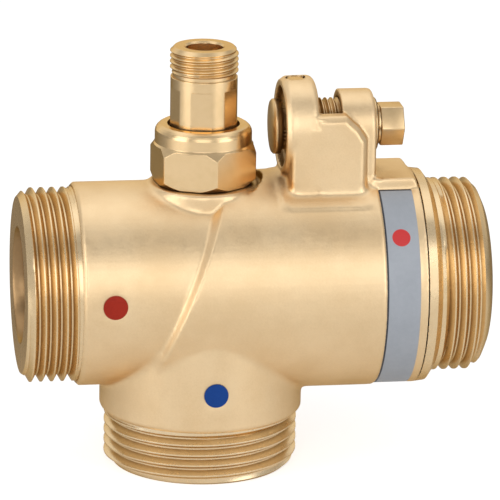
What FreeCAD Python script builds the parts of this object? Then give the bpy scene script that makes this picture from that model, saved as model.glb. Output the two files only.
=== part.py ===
"""Three-way thermostatic mixing valve in brass.

Hot water enters on the left, cold water from below, and mixed water leaves on the
right through a screwed outlet tailpiece.  The frame has its origin at the centre of
the cold port's mouth, +X along the run towards the mixed outlet and +Z up along the
branch.  All lengths are millimetres.  Stations written as "_x" are measured along the
run from the branch axis, and "_rise" or "_drop" are measured from the run axis.
"""
import FreeCAD, Part
import math
import os

from FreeCAD import Vector

# Port threads, G 1 1/4 parallel pipe thread
thread_major_r = 20.955
thread_pitch = 2.309
thread_depth = 1.479
thread_land = 0.55           # width of the flat on each crest
inlet_face_r = 19.1          # outer radius of the inlet ports' end faces
inlet_bevel = 1.6            # length of the bevel behind each inlet's end face
outlet_face_r = 16.7
outlet_nose = 1.1            # length of the steep part of the outlet's bevel
outlet_nose_r = 19.2
outlet_bevel = 2.8

# Ports and barrels of the cast body
cold_reach = 40.2            # run axis to the cold port's mouth
hot_reach = 39.75            # branch axis to the hot port's mouth
outlet_reach = 60.85         # branch axis to the mixed outlet's mouth
cold_shoulder_drop = 28.0
hot_shoulder = 28.0
hot_barrel_r = 21.95
outlet_barrel_r = 23.7
branch_r = 21.95
barrel_edge = 0.6
step_x = -6.5                # where the oblique step crosses the run axis
step_lean = 22.8             # degrees that the step leans towards the outlet
step_width = 1.5
label_groove_x = 36.4
label_groove_width = 7.7
label_groove_r = 23.2
seam_x = 45.75               # body ends and the tailpiece's collar begins
rim_r = 23.4

# Waterways
hot_mouth_bore_r = 12.3
hot_bore_r = 13.0            # bore of the shuttle, behind the mouth
cold_bore_r = 15.5
cold_bore_top_drop = 16.0
cold_gallery_r = 17.5
cold_gallery_width = 4.8
mixing_bore_r = 13.2
mixing_bore_end_x = 16.0
outlet_chamber_r = 17.0
tail_socket_r = 19.0
tail_socket_x = 37.0
mouth_break = 0.4            # small chamfer on the bores' mouths

# Shuttle and its two seats
seat_gap = 1.5               # free travel of the shuttle to each seat
cold_seat_x = -7.8
cold_seat_length = 2.6
cold_seat_bore_r = 9.5
shuttle_length = 10.9
shuttle_bore_r = 9.4
shuttle_tube_r = 11.2
shuttle_nose_r = 10.6
shuttle_nose_length = 1.6
shuttle_land_length = 5.0
hub_r = 3.2
hub_length = 4.2
spider_arm = 2.0             # thickness of the arms of each spider
spider_length = 2.4
spider_count = 3
hot_washer_thickness = 1.0
hot_washer_bore_r = 7.6
hot_disc_r = 11.0
hot_disc_thickness = 1.5
hot_ring_length = 4.0
hot_ring_bore_r = 10.8
hot_ring_stand = 3.2         # from the disc's back to the ring
sliding_clearance = 0.05
seat_clearance = 0.02

# Push rod, wax element and setting carrier
rod_r = 1.5
rod_socket_depth = 2.6
rod_length = 17.0
element_nose_r = 4.0
element_nose_x = -2.0
element_collar_x = 6.0
element_collar_r = 7.4
element_collar_length = 2.0
element_body_r = 5.6
element_end_x = 31.0
rod_bore_depth = 12.0
carrier_x = -3.2
carrier_length = 7.6
carrier_bore_r = 10.0
carrier_web = 3.0
cage_bore_r = 8.4
cage_r = 9.9
cage_length = 13.0
cage_window = 5.0            # width of the cage's water windows
clip_thickness = 1.0
clip_bore_r = 6.6

# Springs, both wound from flat wire
spring_wire = 0.8
return_spring_r = 4.6
return_spring_turns = 3.5
overload_spring_r = 7.4
overload_spring_turns = 3.0

# Adjusting spindle, its housing and the gland nut
boss_r = 12.2
boss_rise = 22.2
spot_face_margin = 0.5
boss_spigot_r = 9.4
boss_spigot_rise = 29.0
boss_bore_r = 6.0
crank_shelf_rise = 16.2
crank_hole_r = 4.5
crank_disc_r = 5.3
crank_disc_thickness = 1.7
crank_throw = 2.5
crank_pin_r = 1.4
crank_pin_tip_rise = 10.7
spindle_r = 3.95
spindle_top_rise = 48.8
socket_flats = 4.0
socket_depth = 3.6
lower_ring_stand = 6.5       # height of the lower O-ring over the crank shelf
running_clearance = 0.05
gasket_thickness = 1.0
flange_r = 9.1
flange_thickness = 2.6
neck_r = 7.35
neck_top_rise = 52.1
neck_chamfer = 1.2
neck_thread_rise = 46.4      # where the neck's thread begins
neck_flats = 13.8            # across the six wrench flats
neck_flats_low_rise = 34.0
neck_flats_high_rise = 43.3
neck_flats_turn = -12.0      # degrees of the front flat from straight ahead
neck_relief = 0.15           # the plain neck is this much smaller than the thread
neck_undercut = 0.4          # depth of the groove behind the thread
neck_undercut_width = 0.8
nut_flats = 20.5
nut_turn = 6.8               # degrees of the front corner from straight ahead
nut_foot_rise = 22.4
nut_hex_top_rise = 30.2
nut_collar_r = 10.45
nut_collar_rise = 33.4
nut_top_rise = 35.1
nut_top_r = 9.2
nut_hole_r = 7.8
nut_corner_r = 11.75
nut_clearance = 0.15

# Clevis on the top of the outlet barrel, and the captive screw across it
screw_rise = 34.0
hot_ear_x = 16.6
hot_ear_width = 7.3
hot_ear_r = 10.9
hot_ear_rim_r = 10.0         # rim of the hot ear's round end
hot_ear_lip = 1.2            # length of that rim's bevel
hot_web_x = 17.6             # the web stands back from the ear's end
web_round = 1.5
ear_round = 1.0
ear_back_round = 1.6
counterbore_r = 8.8
counterbore_depth = 2.1
clevis_gap = 5.2
outlet_ear_width = 7.4
outlet_ear_r = 7.8
plate_depth = 4.0            # thickness of the front plate
plate_top_rise = 38.4
plate_right_x = 34.1
plate_corner = 5.4           # bevel of the plate's upper right corner
plate_edge = 1.2
clevis_floor_rise = 24.6
pad_half_width = 8.6
pad_rise = 24.0
pad_gap = 0.4               # from the pad's end to the seam
pad_end_round = 1.2
pin_x = 19.75                # retaining pin in the top of the hot ear
pin_r = 1.75
pin_recess = 0.25
pin_tip_r = 4.6              # how near the pin's tip comes to the screw's axis
screw_r = 5.95
screw_pitch = 1.75
screw_end_x = 14.7
button_length = 1.7
undercut_r = 5.0
undercut_length = 1.4
screw_stand = 0.8            # how far the shank stands out of the outlet ear
hex_start_x = 38.0
hex_end_x = 43.1
hex_flats = 8.5

# Outlet tailpiece
tail_collar_r = 23.3
tail_collar_length = 2.05
tail_shoulder_x = 49.2
tail_shoulder_r = 21.1
tail_bore_r = 15.6
tail_spigot_length = 8.6
cord_r = 0.9                 # radius of the O-ring cords

# Colour markers and the label
marker_r = 2.6
marker_sink = 0.35
marker_proud = 0.12
marker_clearance = 0.06
hot_marker_x = -21.35
hot_marker_rise = 0.85
cold_marker_x = 0.4
cold_marker_drop = 19.4
label_thickness = 0.16
label_margin = 0.15
label_tail_angle = 100.0     # how far the label runs below the horizontal

X = Vector(1, 0, 0)
Y = Vector(0, 1, 0)
Z = Vector(0, 0, 1)
run_z = cold_reach
screw_z = run_z + screw_rise
outlet_ear_x = hot_ear_x + hot_ear_width + clevis_gap
web_end_x = outlet_ear_x + outlet_ear_width
far = 200.0                  # longer than any cut has to reach


def turned(profile, axis=X, base=Vector(0, 0, 0)):
    """Solid of revolution: profile holds (station, radius) points along the axis."""
    points = [Vector(station, radius, 0) for station, radius in profile]
    points = [Vector(profile[0][0], 0, 0)] + points + [Vector(profile[-1][0], 0, 0)]
    face = Part.Face(Part.makePolygon(points + [points[0]]))
    solid = face.revolve(Vector(0, 0, 0), X, 360)
    solid.Placement = FreeCAD.Placement(base, FreeCAD.Rotation(X, axis))
    return solid.copy()


def rod_x(start, end, radius, rise=0.0):
    """Cylinder along the run; rise is its height over the run axis."""
    return Part.makeCylinder(radius, end - start, Vector(start, 0, run_z + rise), X)


def rod_z(low_rise, high_rise, radius, x=0.0, y=0.0):
    """Upright cylinder between two rises over the run axis."""
    return Part.makeCylinder(radius, high_rise - low_rise, Vector(x, y, run_z + low_rise), Z)


def ring_x(start, end, inner, outer):
    return rod_x(start, end, outer).cut(rod_x(start, end, inner))


def block(x0, x1, y0, y1, low_rise, high_rise):
    return Part.makeBox(x1 - x0, y1 - y0, high_rise - low_rise, Vector(x0, y0, run_z + low_rise))


def hexagon_z(flats, low_rise, high_rise, turn):
    """Upright hexagonal bar; turn is the angle of its front corner from -Y towards +X."""
    corner_r = flats / math.sqrt(3)
    angles = [math.radians(turn + 60 * i) for i in range(7)]
    height = run_z + low_rise
    points = [Vector(corner_r * math.sin(a), -corner_r * math.cos(a), height) for a in angles]
    return Part.Face(Part.makePolygon(points)).extrude(Z * (high_rise - low_rise))


def o_ring(x, centre_r, cord):
    return Part.makeTorus(centre_r, cord, Vector(x, 0, run_z), X)


def threaded_spigot(length, mouth):
    """Pipe thread as ring ridges, from a shoulder at 0 to a bevelled mouth at length.

    mouth lists (distance from the mouth, radius) from the end face back to the thread.
    """
    root_r = thread_major_r - thread_depth
    profile = [(length - back, radius) for back, radius in mouth]
    crest = length - mouth[-1][0] - thread_land / 2
    while crest - thread_pitch > thread_land:
        profile.append((crest - thread_land / 2, thread_major_r))
        profile.append((crest - thread_pitch / 2, root_r))
        crest -= thread_pitch
        profile.append((crest + thread_land / 2, thread_major_r))
    profile.append((0, thread_major_r))
    return profile[::-1]


def inlet_spigot(reach, shoulder, axis):
    """Threaded end of an inlet port; axis points out of the mouth."""
    mouth = [(0, inlet_face_r), (inlet_bevel, thread_major_r)]
    base = Vector(0, 0, run_z) + axis * shoulder
    return turned(threaded_spigot(reach - shoulder, mouth), axis, base)


def flat_wire_spring(radius, start, end, turns):
    """Flat-wire coil along the run between two stations."""
    pitch = (end - start - spring_wire) / turns
    helix = Part.makeHelix(pitch, pitch * turns, radius)
    half = spring_wire / 2
    corners = [(-half, -half), (half, -half), (half, half), (-half, half), (-half, -half)]
    section = Part.makePolygon([Vector(radius + dx, 0, dz) for dx, dz in corners])
    coil = Part.Wire(helix).makePipeShell([section], True, True)
    base = Vector(start + half, 0, run_z)
    coil.Placement = FreeCAD.Placement(base, FreeCAD.Rotation(Z, X))
    return coil.copy()


def spider(start, inner, outer):
    """Radial arms between a hub and a ring, centred on the run axis."""
    arm = block(start, start + spider_length, -spider_arm / 2, spider_arm / 2, inner, outer)
    arms = []
    for i in range(spider_count):
        copy = arm.copy()
        copy.rotate(Vector(0, 0, run_z), X, 360.0 * i / spider_count)
        arms.append(copy)
    return arms


def side_marker(x, rise, barrel_r, axis, radius, low, high):
    """Round piece on the front of a barrel, between two depths under and over its skin."""
    stem = Part.makeCylinder(radius, barrel_r, Vector(x, 0, run_z + rise), Y * -1)
    outer = barrel_r + high
    inner = barrel_r - low
    base = Vector(0, 0, run_z) - axis * far
    skin = Part.makeCylinder(outer, 2 * far, base, axis)
    return stem.common(skin).cut(Part.makeCylinder(inner, 2 * far, base, axis))


# ---------------------------------------------------------------- cast body

def leaning_outline(x, radius):
    """Outline of a barrel cut off at station x by the plane of the oblique step."""
    long_r = radius / math.cos(math.radians(step_lean))
    outline = Part.Wire(Part.Ellipse(Vector(0, 0, 0), long_r, radius).toShape())
    outline.Placement = FreeCAD.Placement(Vector(x, 0, run_z), FreeCAD.Rotation(Y, step_lean - 90))
    return outline


def outlet_barrel():
    """Larger barrel, ending over the branch in a slope down to the smaller one."""
    top = step_x + step_width / 2
    slope = Part.makeLoft([leaning_outline(top - step_width, hot_barrel_r),
                           leaning_outline(top, outlet_barrel_r)], True, True)
    hot_side = Part.makeBox(far, 2 * far, 2 * far, Vector(-far, -far, -far))
    hot_side.rotate(Vector(0, 0, 0), Y, step_lean)
    hot_side.translate(Vector(top, 0, run_z))
    return rod_x(-hot_shoulder, seam_x, outlet_barrel_r).cut(hot_side).fuse(slope)


def ear(x, width, radius):
    """Plate across the run with a round top at the screw's height."""
    web = block(x, x + width, -radius, radius, 0, screw_rise)
    return rod_x(x, x + width, radius, screw_rise).fuse(web).removeSplitter()


def rim_edges(shape, x, low_rise):
    """Outer edges of an ear's flat face at station x, above a rise."""
    return [e for e in shape.Edges
            if abs(e.BoundBox.XMin - x) < 1e-6 and abs(e.BoundBox.XMax - x) < 1e-6
            and e.CenterOfMass.z > run_z + low_rise]


def clevis():
    """Two round-topped ears on a block, joined in front by a raised plate."""
    hot_ear_end = hot_ear_x + hot_ear_width
    hot_ear = ear(hot_web_x, hot_ear_end - hot_web_x, hot_ear_r)
    hot_ear = hot_ear.makeFillet(web_round, rim_edges(hot_ear, hot_web_x, 1.0))
    hot_ear = hot_ear.makeFillet(ear_back_round, rim_edges(hot_ear, hot_ear_end, screw_rise))
    lip = turned([(0, hot_ear_rim_r), (hot_ear_lip, hot_ear_r - 0.1),
                  (hot_web_x + web_round - hot_ear_x, hot_ear_r - 0.02)],
                 X, Vector(hot_ear_x, 0, screw_z))
    outlet_ear = ear(outlet_ear_x, outlet_ear_width, outlet_ear_r)
    outlet_ear = outlet_ear.makeFillet(ear_round, rim_edges(outlet_ear, web_end_x, 1.0))
    floor = block(hot_ear_end, outlet_ear_x, -outlet_ear_r, outlet_ear_r, 0, clevis_floor_rise)
    return hot_ear.fuse([lip, outlet_ear, floor, front_plate()])


def front_plate():
    """Raised plate that closes the clevis in front, bevelled round its free border."""
    start = hot_ear_x + hot_ear_width
    top = run_z + plate_top_rise
    outline = [(start, run_z), (plate_right_x, run_z), (plate_right_x, top - plate_corner),
               (plate_right_x - plate_corner * 0.3, top - plate_corner * 0.52),
               (plate_right_x - plate_corner * 0.85, top), (start, top)]
    points = [Vector(x, plate_depth - hot_ear_r, z) for x, z in outline]
    plate = Part.Face(Part.makePolygon(points + [points[0]])).extrude(Y * -plate_depth)
    border = [e for e in plate.Edges
              if abs(e.CenterOfMass.y + hot_ear_r) < 1e-6
              and e.CenterOfMass.x > start + 1e-3 and e.CenterOfMass.z > run_z + 1e-3]
    return plate.makeChamfer(plate_edge, border)


def mounting_pad():
    """Flat pad over the label groove, behind the outlet ear."""
    end = seam_x - pad_gap
    pad = block(web_end_x - ear_round, end, -pad_half_width, pad_half_width, 0, pad_rise)
    edges = [e for e in pad.Edges
             if abs(e.CenterOfMass.z - run_z - pad_rise) < 1e-6 and e.CenterOfMass.x > end - 1e-6]
    return pad.makeFillet(pad_end_round, edges)


def boss():
    """Seat for the gland nut, with the screwed spigot that the nut grips."""
    foot = rod_z(0, boss_rise, boss_r)
    top = [e for e in foot.Edges if abs(e.CenterOfMass.z - run_z - boss_rise) < 1e-6]
    return foot.makeChamfer(barrel_edge, top).fuse(rod_z(0, boss_spigot_rise, boss_spigot_r))


def spot_face():
    """Room cut for the nut where the larger barrel rises past the boss."""
    return rod_z(boss_rise - barrel_edge, boss_spigot_rise, boss_r + spot_face_margin)


def waterways():
    """Everything bored out of the body."""
    gallery_x = cold_seat_x - cold_gallery_width
    hot_mouth = turned([(0, hot_mouth_bore_r + mouth_break), (mouth_break, hot_mouth_bore_r)],
                       X, Vector(-hot_reach, 0, run_z))
    cold_mouth = turned([(0, cold_bore_r + mouth_break), (mouth_break, cold_bore_r)],
                        Z, Vector(0, 0, 0))
    ring_groove_x = shuttle_x() + shuttle_nose_length + shuttle_land_length / 2
    groove = rod_x(ring_groove_x - 1.3 * cord_r, ring_groove_x + 1.3 * cord_r,
                   hot_bore_r + 2 * cord_r)
    return [rod_x(-hot_reach, 0, hot_mouth_bore_r), hot_mouth, cold_mouth, groove,
            rod_x(hot_ring_x() - seat_clearance, cold_seat_x, hot_bore_r),
            rod_x(gallery_x, cold_seat_x, cold_gallery_r),
            rod_x(cold_seat_x, mixing_bore_end_x, mixing_bore_r),
            rod_x(mixing_bore_end_x, tail_socket_x, outlet_chamber_r),
            rod_x(tail_socket_x, seam_x, tail_socket_r),
            rod_z(-cold_reach, -cold_bore_top_drop, cold_bore_r),
            rod_z(0, crank_shelf_rise, crank_hole_r),
            rod_z(crank_shelf_rise, boss_spigot_rise, boss_bore_r),
            rod_x(hot_ear_x, web_end_x, screw_bore_r(), screw_rise),
            rod_x(0, hot_ear_x + counterbore_depth, counterbore_r, screw_rise),
            rod_z(screw_rise, 2 * screw_rise, pin_r + seat_clearance, pin_x)]


def screw_bore_r():
    return screw_r + running_clearance


def make_body():
    hot_thread = inlet_spigot(hot_reach, hot_shoulder, X * -1)
    cold_thread = inlet_spigot(cold_reach, cold_shoulder_drop, Z * -1)
    hot_barrel = turned([(-hot_shoulder, hot_barrel_r - barrel_edge),
                         (-hot_shoulder + barrel_edge, hot_barrel_r), (0, hot_barrel_r)],
                        X, Vector(0, 0, run_z))
    hot_barrel = hot_barrel.fuse(rod_x(0, -step_x, hot_barrel_r))
    branch = turned([(0, branch_r), (cold_shoulder_drop - barrel_edge, branch_r),
                     (cold_shoulder_drop, branch_r - barrel_edge)],
                    Z * -1, Vector(0, 0, run_z))
    groove = ring_x(label_groove_x, label_groove_x + label_groove_width,
                    label_groove_r, outlet_barrel_r + 1)
    rim = ring_x(label_groove_x + label_groove_width, seam_x, rim_r, outlet_barrel_r + 1)
    run = outlet_barrel().cut([groove, rim, spot_face()])
    shell = run.fuse([hot_barrel, branch, boss(), clevis(), mounting_pad()])
    shell = shell.fuse([hot_thread, cold_thread])
    shell = shell.cut(waterways())
    sinks = [marker(side, marker_clearance, far / 2) for side in ("hot", "cold")]
    return shell.cut(sinks)


# ---------------------------------------------------------------- trim

def marker(side, grow=0.0, proud=marker_proud):
    """Coloured button in a shallow recess on the front of a barrel."""
    radius = marker_r + grow
    if side == "hot":
        return side_marker(hot_marker_x, hot_marker_rise, hot_barrel_r, X,
                           radius, marker_sink, proud if proud < 1 else 1.0)
    return side_marker(cold_marker_x, -cold_marker_drop, branch_r, Z,
                       radius, marker_sink, proud if proud < 1 else 1.0)


def make_label():
    """Thin film in the groove, from the pad's front edge round under the barrel."""
    start = label_groove_x + label_margin
    end = label_groove_x + label_groove_width - label_margin
    film = ring_x(start, end, label_groove_r, label_groove_r + label_thickness)
    from_top = math.degrees(math.asin((pad_half_width + label_margin) / label_groove_r))
    sweep = 90 + label_tail_angle - from_top
    reach = 2 * outlet_barrel_r
    sector = Part.makeCylinder(reach, end - start, Vector(start, 0, run_z), X, sweep)
    sector.rotate(Vector(0, 0, run_z), X, from_top)
    return film.common(sector)


# ---------------------------------------------------------------- outlet tailpiece

def make_tailpiece():
    mouth = [(0, outlet_face_r), (outlet_nose, outlet_nose_r), (outlet_bevel, thread_major_r)]
    spigot = threaded_spigot(outlet_reach - tail_shoulder_x, mouth)
    thread = turned(spigot, X, Vector(tail_shoulder_x, 0, run_z))
    collar = turned([(seam_x, tail_collar_r - 0.25), (seam_x + 0.25, tail_collar_r),
                     (seam_x + tail_collar_length, tail_collar_r - 0.2),
                     (tail_shoulder_x, tail_shoulder_r)], X, Vector(0, 0, run_z))
    inner = rod_x(seam_x - tail_spigot_length, seam_x, tail_socket_r - sliding_clearance)
    groove_x = tail_ring_x()
    groove = ring_x(groove_x - 1.3 * cord_r, groove_x + 1.3 * cord_r,
                    tail_ring_r() - cord_r - seat_clearance, far)
    rim = turned([(0, tail_bore_r), (mouth_break, tail_bore_r + mouth_break)],
                 X, Vector(outlet_reach - mouth_break, 0, run_z))
    return thread.fuse([collar, inner]).cut([groove, rim, rod_x(0, far, tail_bore_r)])


def tail_ring_x():
    return seam_x - tail_spigot_length * 0.7


def tail_ring_r():
    return tail_socket_r - cord_r - seat_clearance


# ---------------------------------------------------------------- mixing mechanism

def shuttle_x():
    """Station of the shuttle's hot rim at rest, midway between the seats."""
    return cold_seat_x - seat_gap - shuttle_length


def hub_x():
    return shuttle_x() + shuttle_nose_length + shuttle_land_length - 1.0


def make_shuttle():
    """Sleeve with a guide land; its two rims throttle hot and cold water."""
    start = shuttle_x()
    land = start + shuttle_nose_length
    land_r = hot_bore_r - sliding_clearance
    sleeve = rod_x(start, land, shuttle_nose_r).fuse([
        rod_x(land, land + shuttle_land_length, land_r),
        rod_x(land + shuttle_land_length, start + shuttle_length, shuttle_tube_r)])
    sleeve = sleeve.cut(rod_x(start, start + shuttle_length, shuttle_bore_r))
    hub = rod_x(hub_x(), hub_x() + hub_length, hub_r)
    sleeve = sleeve.fuse([hub] + spider(hub_x(), 0, shuttle_bore_r + 0.5))
    socket = rod_x(hub_x() + hub_length - rod_socket_depth, hub_x() + hub_length,
                   rod_r + seat_clearance)
    return sleeve.cut(socket).removeSplitter()


def make_push_rod():
    start = hub_x() + hub_length - rod_socket_depth + seat_clearance
    return rod_x(start, start + rod_length, rod_r)


def make_shuttle_ring():
    x = shuttle_x() + shuttle_nose_length + shuttle_land_length / 2
    return o_ring(x, hot_bore_r + cord_r - seat_clearance, cord_r - seat_clearance)


def hot_washer_x():
    """Station of the hot seat washer's working face."""
    return shuttle_x() - seat_gap


def make_hot_washer():
    face = hot_washer_x()
    return ring_x(face - hot_washer_thickness, face, hot_washer_bore_r, hot_disc_r)


def hot_ring_x():
    """Station of the end of the hot seat's ring, near the mouth's shoulder."""
    return (hot_washer_x() - hot_washer_thickness - hot_disc_thickness
            - hot_ring_stand - hot_ring_length)


def make_hot_seat():
    """Disc that faces the shuttle, on three legs from a ring held in the hot bore."""
    back = hot_washer_x() - hot_washer_thickness
    disc = rod_x(back - hot_disc_thickness, back, hot_disc_r)
    ring_end = hot_ring_x() + hot_ring_length
    ring = ring_x(hot_ring_x(), ring_end, hot_ring_bore_r, hot_bore_r - seat_clearance)
    legs = []
    for i in range(spider_count):
        leg = block(ring_end - spider_length, back - hot_disc_thickness / 2, -spider_arm,
                    spider_arm, hot_disc_r - 2.2, hot_disc_r)
        leg.rotate(Vector(0, 0, run_z), X, 360.0 * (i + 0.5) / spider_count)
        legs.append(leg)
    return disc.fuse([ring] + legs).removeSplitter()


def make_cold_seat():
    return ring_x(cold_seat_x, cold_seat_x + cold_seat_length, cold_seat_bore_r,
                  mixing_bore_r - seat_clearance)


def make_return_spring():
    start = hot_washer_x() - hot_washer_thickness + seat_clearance
    return flat_wire_spring(return_spring_r, start, hub_x() - seat_clearance,
                            return_spring_turns)


def make_element():
    """Wax capsule: nose with the rod's guide bore, collar and sensing body."""
    nose = rod_x(element_nose_x, element_collar_x, element_nose_r)
    collar = rod_x(element_collar_x, element_collar_x + element_collar_length, element_collar_r)
    body = turned([(element_collar_x, element_body_r), (element_end_x - 1.5, element_body_r),
                   (element_end_x, element_body_r - 1.5)], X, Vector(0, 0, run_z))
    guide = rod_x(element_nose_x, element_nose_x + rod_bore_depth, rod_r + running_clearance)
    return nose.fuse([collar, body]).cut(guide)


def make_carrier():
    """Ring driven by the crank pin, with a cage that holds the wax element."""
    end = carrier_x + carrier_length
    ring = ring_x(carrier_x, end, carrier_bore_r, mixing_bore_r - sliding_clearance)
    web = ring_x(end - carrier_web / 2, element_collar_x - seat_clearance,
                 element_nose_r + seat_clearance, carrier_bore_r + 0.5)
    cage = ring_x(element_collar_x - seat_clearance, element_collar_x + cage_length,
                  cage_bore_r, cage_r)
    slot_half = crank_pin_r + 2 * running_clearance
    slot = block(-slot_half, slot_half, -crank_throw - 1.5 * crank_pin_r,
                 crank_throw + 1.5 * crank_pin_r, 0, far)
    windows = []
    for i in range(spider_count):
        window = block(element_collar_x + carrier_web, element_collar_x + cage_length - carrier_web,
                       -cage_window / 2, cage_window / 2, 0, far)
        port = block(-far, element_collar_x, -cage_window / 2, cage_window / 2,
                     element_nose_r + 1.2, cage_bore_r)
        for cutter in (window, port):
            cutter.rotate(Vector(0, 0, run_z), X, 60 + 360.0 * i / spider_count)
            windows.append(cutter)
    return ring.cut(slot).fuse([web, cage]).cut(windows).removeSplitter()


def clip_x():
    return element_collar_x + cage_length - 1.6


def make_overload_clip():
    return ring_x(clip_x(), clip_x() + clip_thickness, clip_bore_r, cage_bore_r - seat_clearance)


def make_overload_spring():
    start = element_collar_x + element_collar_length + seat_clearance
    return flat_wire_spring(overload_spring_r - spring_wire / 2, start,
                            clip_x() - seat_clearance, overload_spring_turns)


# ---------------------------------------------------------------- spindle group

def flange_rise():
    return boss_spigot_rise + gasket_thickness


def make_gasket():
    return rod_z(boss_spigot_rise, flange_rise(), flange_r).cut(
        rod_z(boss_spigot_rise, flange_rise(), boss_bore_r))


def make_housing():
    """Flanged neck: six wrench flats, a screwed end and the spindle's guide bore."""
    crank_top = crank_shelf_rise + 2 * running_clearance + crank_disc_thickness
    spigot = rod_z(crank_top + 2 * running_clearance, flange_rise(), boss_bore_r - seat_clearance)
    flange = rod_z(flange_rise(), flange_rise() + flange_thickness, flange_r)
    plain_r = neck_r - neck_relief
    undercut = neck_thread_rise - neck_undercut_width
    neck = turned([(flange_rise(), plain_r), (undercut, plain_r),
                   (undercut, neck_r - neck_undercut), (neck_thread_rise, neck_r - neck_undercut),
                   (neck_thread_rise, neck_r), (neck_top_rise - neck_chamfer, neck_r),
                   (neck_top_rise, neck_r - neck_chamfer)], Z, Vector(0, 0, run_z))
    flats = rod_z(neck_flats_low_rise, neck_flats_high_rise, 2 * neck_r).cut(
        hexagon_z(neck_flats, neck_flats_low_rise, neck_flats_high_rise, neck_flats_turn + 30))
    bore = rod_z(0, neck_top_rise, spindle_r + running_clearance)
    mouth = turned([(neck_top_rise - mouth_break, spindle_r + running_clearance),
                    (neck_top_rise, spindle_r + running_clearance + mouth_break)],
                   Z, Vector(0, 0, run_z))
    return neck.cut(flats).fuse([spigot, flange]).cut([bore, mouth])


def make_spindle():
    """Spindle with a hexagon socket on top and a crank pin below."""
    disc_low = crank_shelf_rise + 2 * running_clearance
    shaft = rod_z(disc_low, spindle_top_rise, spindle_r)
    disc = rod_z(disc_low, disc_low + crank_disc_thickness, crank_disc_r)
    pin = rod_z(crank_pin_tip_rise, disc_low, crank_pin_r, 0, crank_throw)
    socket = hexagon_z(socket_flats, spindle_top_rise - socket_depth, spindle_top_rise, 0)
    grooves = [spindle_groove(rise) for rise in ring_rises()]
    return shaft.fuse([disc, pin]).cut([socket] + grooves).removeSplitter()


def ring_rises():
    """Two O-rings, on the spigot's and the flange's height."""
    return [crank_shelf_rise + lower_ring_stand, flange_rise()]


def spindle_groove(rise):
    depth = 2 * cord_r * 0.8
    band = rod_z(rise - cord_r, rise + cord_r, 2 * spindle_r)
    return band.cut(rod_z(rise - cord_r, rise + cord_r, spindle_r - depth))


def make_spindle_rings():
    cord = cord_r * 0.8 - seat_clearance
    return Part.makeCompound([
        Part.makeTorus(spindle_r - cord, cord, Vector(0, 0, run_z + rise), Z)
        for rise in ring_rises()])


def make_nut():
    """Hexagon with a turned collar and a domed shoulder round the neck."""
    bevel = nut_corner_r - nut_collar_r
    outline = [(nut_foot_rise, nut_corner_r - bevel), (nut_foot_rise + bevel, nut_corner_r),
               (nut_hex_top_rise - 0.6 * bevel, nut_corner_r),
               (nut_hex_top_rise + 0.4 * bevel, nut_collar_r + 0.35),
               (nut_hex_top_rise + 0.8 * bevel, nut_collar_r),
               (nut_collar_rise, nut_collar_r)]
    dome = nut_top_rise - nut_collar_rise
    for i in range(1, 5):
        a = math.radians(60.0 * i / 4)
        outline.append((nut_collar_rise + dome * math.sin(a) / math.sin(math.radians(60)),
                        nut_top_r + (nut_collar_r - nut_top_r) * (2 * math.cos(a) - 1)))
    blank = turned(outline, Z, Vector(0, 0, run_z))
    hexagon = hexagon_z(nut_flats, nut_foot_rise, nut_hex_top_rise + 0.4 * bevel, nut_turn)
    upper = rod_z(nut_hex_top_rise + 0.4 * bevel, nut_top_rise + 1, nut_corner_r)
    thread_bore = rod_z(0, flange_rise() + flange_thickness, boss_spigot_r + nut_clearance)
    return blank.common(hexagon.fuse(upper)).cut(
        [rod_z(0, nut_top_rise + 1, nut_hole_r), thread_bore])


# ---------------------------------------------------------------- clevis screw

def undercut_x():
    return screw_end_x + button_length


def make_screw():
    """Captive screw: end button, undercut, pin groove, shank and a hexagon end."""
    bevel = 0.35
    shank_end = web_end_x + screw_stand
    undercut_end = undercut_x() + undercut_length
    groove_half = pin_r + running_clearance
    profile = [(screw_end_x, screw_r - bevel), (screw_end_x + bevel, screw_r),
               (undercut_x(), screw_r), (undercut_x(), undercut_r),
               (undercut_end, undercut_r), (undercut_end, screw_r),
               (pin_x - groove_half, screw_r), (pin_x - groove_half, pin_groove_r()),
               (pin_x + groove_half, pin_groove_r()), (pin_x + groove_half, screw_r),
               (shank_end - bevel, screw_r), (shank_end, screw_r - bevel),
               (shank_end, hex_flats / 2), (hex_start_x, hex_flats / 2)]
    shank = turned(profile, X, Vector(0, 0, screw_z))
    corner_r = hex_flats / math.sqrt(3)
    angles = [math.radians(60 * i) for i in range(7)]
    points = [Vector(hex_start_x, -corner_r * math.cos(a), screw_z + corner_r * math.sin(a))
              for a in angles]
    head = Part.Face(Part.makePolygon(points)).extrude(X * (hex_end_x - hex_start_x))
    crown = turned([(hex_start_x, corner_r), (hex_end_x - bevel, corner_r),
                    (hex_end_x, corner_r - 2 * bevel)], X, Vector(0, 0, screw_z))
    return shank.fuse(head.common(crown))


def pin_groove_r():
    return pin_tip_r - 2 * running_clearance


def make_pin():
    """Dowel pressed in from the top of the hot ear; its tip keeps the screw in place."""
    top = math.sqrt(hot_ear_r ** 2 - pin_r ** 2) - pin_recess
    return rod_z(screw_rise + pin_tip_r, screw_rise + top, pin_r, pin_x)


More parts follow.
